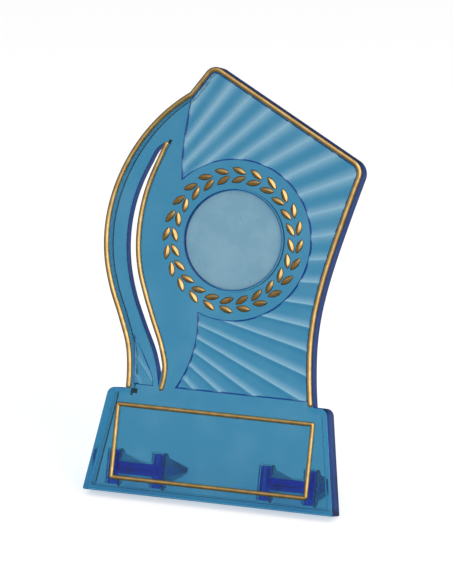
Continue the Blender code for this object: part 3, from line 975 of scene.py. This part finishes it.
def gilt_foil():
    """Hot-stamped gold foil, brushed by handling, with painted shade darkening it brown at the
    foot of each bead.
    """
    material, tree, shader = new_finish("gilt_foil")
    where = plate_place(tree)
    blotch = span(tree, noise(tree, where, 0.28, 4, 0.6), 0.35, 0.7)
    hue = mixed(tree, blotch, *GILT_TONES)
    axes = tree.nodes.new("ShaderNodeSeparateXYZ")
    link(tree, where, axes.inputs[0])
    # Painted shade near the face, at the foot of each bead, fading out up the bead
    height = math_node(tree, "MULTIPLY", axes.outputs["Y"], -1.0)
    foot_shade = span(tree, height, 0.05, 0.45, 1.0, 0.0)
    foot_shade = math_node(tree, "MULTIPLY", foot_shade, span(tree, height, -0.05, -0.02))
    hue = mixed(tree, foot_shade, hue, GILT_FOOT_SHADE)
    link(tree, hue, shader.inputs["Base Color"])
    shader.inputs["Metallic"].default_value = 1.0
    rough = span(tree, noise(tree, where, 0.4, 3, 0.5), 0.3, 0.75, *GILT_ROUGHNESS)
    link(tree, rough, shader.inputs["Roughness"])
    link(tree, bump(tree, noise(tree, where, 0.5, 3, 0.5), 0.12, 0.00008), shader.inputs["Normal"])
    return material


def frosted_paper():
    """The matt blank of the emblem seat: mottled, with a few dark specks."""
    material, tree, shader = new_finish("frosted_disc")
    where = plate_place(tree)
    mottle = span(tree, noise(tree, where, 0.09, 5, 0.6), 0.3, 0.7)
    hue = mixed(tree, mottle, *DISC_TONES)
    speck = span(tree, noise(tree, where, 0.62, 2, 0.3), 0.74, 0.79)
    hue = mixed(tree, math_node(tree, "MULTIPLY", speck, 0.6), hue, DISC_SPECK)
    link(tree, hue, shader.inputs["Base Color"])
    shader.inputs["Roughness"].default_value = DISC_ROUGHNESS
    link(tree, bump(tree, noise(tree, where, 1.4, 3, 0.6), 0.3, 0.00008), shader.inputs["Normal"])
    return material


def mark_fluted(piece):
    """Marks the moulding's fluted faces, and which side walls get painted shade.

    A wall on the outside, round the slot or round a sunk field is painted with the shade tint;
    the walls of the hollow at the back stay clear.
    """
    mesh = piece.data
    fluted = mesh.attributes.new("fluted", "FLOAT", "FACE")
    walls = mesh.attributes.new("wall_shade", "FLOAT", "FACE")
    field = [Vector(c[:2]) for c in ray_field_outline()]
    small = [Vector(c) for c in SMALL_FIELD]
    hollow = [Vector(p) for p in traced(moved_left(body_outline(), SKIRT_WALL / 2))]
    box = [Vector(p) for p in traced(moved_left(base_outline(), BASE_WALL / 2))]
    slot = [Vector(p) for p in traced(moved_left(slot_outline(), -SLOT_WALL / 2))]
    flute_values, wall_values = [], []
    for polygon in mesh.polygons:
        middle, normal = polygon.center / MM, polygon.normal
        spot = Vector((middle.x, middle.z))
        in_depth = any(low < middle.y < high for low, high in (FLUTE_FRONT_DEPTHS,
                                                               FLUTE_REAR_DEPTHS))
        level = abs(normal.y) > FLUTE_FACING and in_depth
        flute_values.append(float(level and (inside(spot, field) or inside(spot, small))))
        within = inside(spot, hollow) or inside(spot, box)
        wall = 0.0
        # Outer side walls are marked for painted shade, the hollow's walls for clear
        if abs(normal.y) < WALL_FACING:
            seen = not within or inside(spot, slot) or middle.y < FRONT_WALL_DEPTH
            wall = 1.0 if seen else -1.0
        wall_values.append(wall)
    fluted.data.foreach_set("value", flute_values)
    walls.data.foreach_set("value", wall_values)


def finish(piece, material, slot, body, *nodes):
    """Gives a piece its material and sets it on its body in place of those nodes; the slot is not
    used.
    """
    mesh = piece.data
    mesh.materials.clear()
    mesh.materials.append(material)
    spots = mesh.attributes.new("plate_place", "FLOAT_VECTOR", "POINT")
    spots.data.foreach_set("vector", [c / MM for v in mesh.vertices for c in v.co])
    mesh.transform(piece.matrix_world)
    piece.matrix_world = Matrix.Identity(4)
    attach(piece, body)
    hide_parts(*nodes)


def dress():
    surface = moulded_surface()
    blue = clear_plastic("blue_plastic", BLUE_TINTS, BLUE_SOAK, BLUE_DENSITY, BLUE_POLISH, surface,
                         ray_highlight_and_shade())
    navy = clear_plastic("navy_plastic", NAVY_TINTS, NAVY_SOAK, NAVY_DENSITY, NAVY_POLISH, surface)
    gilt = gilt_foil()
    moulding = blue_moulding()
    mark_fluted(moulding)
    finish(moulding, blue, "blue_plastic", "plaque", "plaque_body")
    finish(foot("left_foot", -1), navy, "navy_plastic", "left_foot", "foot_left")
    finish(foot("right_foot", 1), navy, "navy_plastic", "right_foot", "foot_right")
    beads = (("gilt_rim_bead", rim_line(), BEAD_WIDTH, False, "rim_bead"),
             ("gilt_flame_bead", smooth_run(FLAME_LINE), FLAME_BEAD_WIDTH, False, "flame_bead"),
             ("gilt_label_frame", frame_corners(), FRAME_BAR_WIDTH, True, "nameplate_frame"))
    for name, line, width, closed, node in beads:
        finish(smooth(bead(name, line, width, closed), 50), gilt, "gilt_foil", "plaque", node)
    for word, ring in (("outer", OUTER_LEAVES), ("inner", INNER_LEAVES)):
        nodes = [f"laurel_leaf_{word}_{pair + 1:02d}" for pair in range(LEAF_PAIRS)]
        wreath = smooth(leaves(f"gilt_{word}_leaves", ring), 40)
        finish(wreath, gilt, "gilt_foil", "plaque", *nodes)
    disc = prism("emblem_blank", circle(DISC_RADIUS), DISC_TOP_DEPTH,
                 DISC_TOP_DEPTH + DISC_THICKNESS, *DISC_EDGES)
    finish(smooth(disc), frosted_paper(), "frosted_disc", "plaque", "centre_disc")


# The studio

CAMERA_AIM = (-0.5, -26.3, -0.8)  # u, v and depth of the plate's point in the middle of the view
CAMERA_BACK = Vector((0.281, -0.9597, 0.0))  # from the plate to the camera, on the plate's axes
CAMERA_UP = Vector((-0.095, -0.028, 0.995))
CAMERA_DISTANCE = 2.326
CAMERA_LENS = 285.2

LAMP_AIM = Vector((0, 0, 0.1))
ROOM_AIM = (0, -0.9, 0.43)
ROOM_LEVELS = (0.02, 0.5)
WINDOW_AIM = (0.785, -0.453, 0.42)
WINDOW_LEVELS = (0.0, 1.6)
MIRRORED_FLOOR = (0.16, 0.15, 0.13, 1)
SEEN_FLOOR = (0.5, 0.5, 0.5, 1)
FLOOR_GLOW = 0.45
FLOOR_RADIUS = 6


def camera():
    data = bpy.data.cameras.new("camera")
    data.lens, data.sensor_width, data.sensor_fit = CAMERA_LENS, 36, "AUTO"
    data.clip_start, data.clip_end = 0.05, 50
    eye = bpy.data.objects.new("camera", data)
    bpy.context.scene.collection.objects.link(eye)
    back = CAMERA_BACK.normalized()
    right = CAMERA_UP.cross(back).normalized()
    up = back.cross(right)
    aim = place(CAMERA_AIM[:2], CAMERA_AIM[2])
    turn = Matrix((right, up, back)).transposed().to_4x4()
    eye.matrix_world = PLATE @ Matrix.Translation(aim + back * CAMERA_DISTANCE) @ turn
    bpy.context.scene.camera = eye


def soft_box(name, azimuth, elevation, distance, size, power):
    data = bpy.data.lights.new(name, "AREA")
    data.shape, data.size, data.size_y = "RECTANGLE", *size
    data.energy = power
    lamp = bpy.data.objects.new(name, data)
    lamp.visible_camera = lamp.visible_transmission = lamp.visible_glossy = False
    bpy.context.scene.collection.objects.link(lamp)
    a, e = math.radians(azimuth), math.radians(elevation)
    back = Vector((math.sin(a) * math.cos(e), -math.cos(a) * math.cos(e), math.sin(e)))
    lamp.location = LAMP_AIM + back * distance
    lamp.rotation_mode = "QUATERNION"
    lamp.rotation_quaternion = back.to_track_quat("Z", "Y")


def towards(tree, way, aim):
    node = tree.nodes.new("ShaderNodeVectorMath")
    node.operation = "DOT_PRODUCT"
    link(tree, way, node.inputs[0])
    node.inputs[1].default_value = aim
    return node.outputs["Value"]


def mirrored(tree, path):
    """1 where a surface mirrors this, as against where it is seen straight or through glass."""
    straight = math_node(tree, "SUBTRACT", 1.0, path.outputs["Is Transmission Ray"])
    return math_node(tree, "MULTIPLY", path.outputs["Is Glossy Ray"], straight)


def studio():
    world = bpy.data.worlds.new("pale_room")
    bpy.context.scene.world = world
    world.use_nodes = True
    tree = world.node_tree
    plain = tree.nodes["Background"]
    plain.inputs["Color"].default_value = (1, 1, 1, 1)
    path = tree.nodes.new("ShaderNodeLightPath")
    seen = math_node(tree, "MAXIMUM", path.outputs["Is Camera Ray"],
                     path.outputs["Is Transmission Ray"])
    way = tree.nodes.new("ShaderNodeTexCoord").outputs["Generated"]
    room = span(tree, towards(tree, way, ROOM_AIM), 0.0, 0.6, *ROOM_LEVELS)
    window = span(tree, towards(tree, way, WINDOW_AIM), 0.35, 0.97, *WINDOW_LEVELS)
    shine = math_node(tree, "ADD", room, window)
    glossy = mixed(tree, mirrored(tree, path), (0.85, 0.85, 0.85, 1), shine)
    level = mixed(tree, seen, glossy, (1, 1, 1, 1))
    link(tree, level, plain.inputs["Strength"])
    soft_box("key_light", azimuth=48, elevation=30, distance=2.6, size=(1.4, 1.6), power=55)
    soft_box("top_light", azimuth=-30, elevation=70, distance=2.4, size=(1.6, 1.6), power=8)

    bm = bmesh.new()
    bmesh.ops.create_circle(bm, cap_ends=True, segments=96, radius=FLOOR_RADIUS)
    mesh = bpy.data.meshes.new("floor")
    bm.to_mesh(mesh)
    bm.free()
    floor = bpy.data.objects.new("floor", mesh)
    bpy.context.scene.collection.objects.link(floor)
    material, tree, shader = new_finish("pale_floor")
    path = tree.nodes.new("ShaderNodeLightPath")
    seen = math_node(tree, "SUBTRACT", 1.0, mirrored(tree, path))
    link(tree, mixed(tree, seen, MIRRORED_FLOOR, SEEN_FLOOR),
         shader.inputs["Base Color"])
    shader.inputs["Emission Color"].default_value = (1, 1, 1, 1)
    link(tree, math_node(tree, "MULTIPLY", seen, FLOOR_GLOW), shader.inputs["Emission Strength"])
    shader.inputs["Roughness"].default_value = 0.9
    shader.inputs["Specular IOR Level"].default_value = 0.1
    mesh.materials.append(material)
    bpy.context.scene.view_settings.view_transform = "Standard"


dress()
studio()
camera()
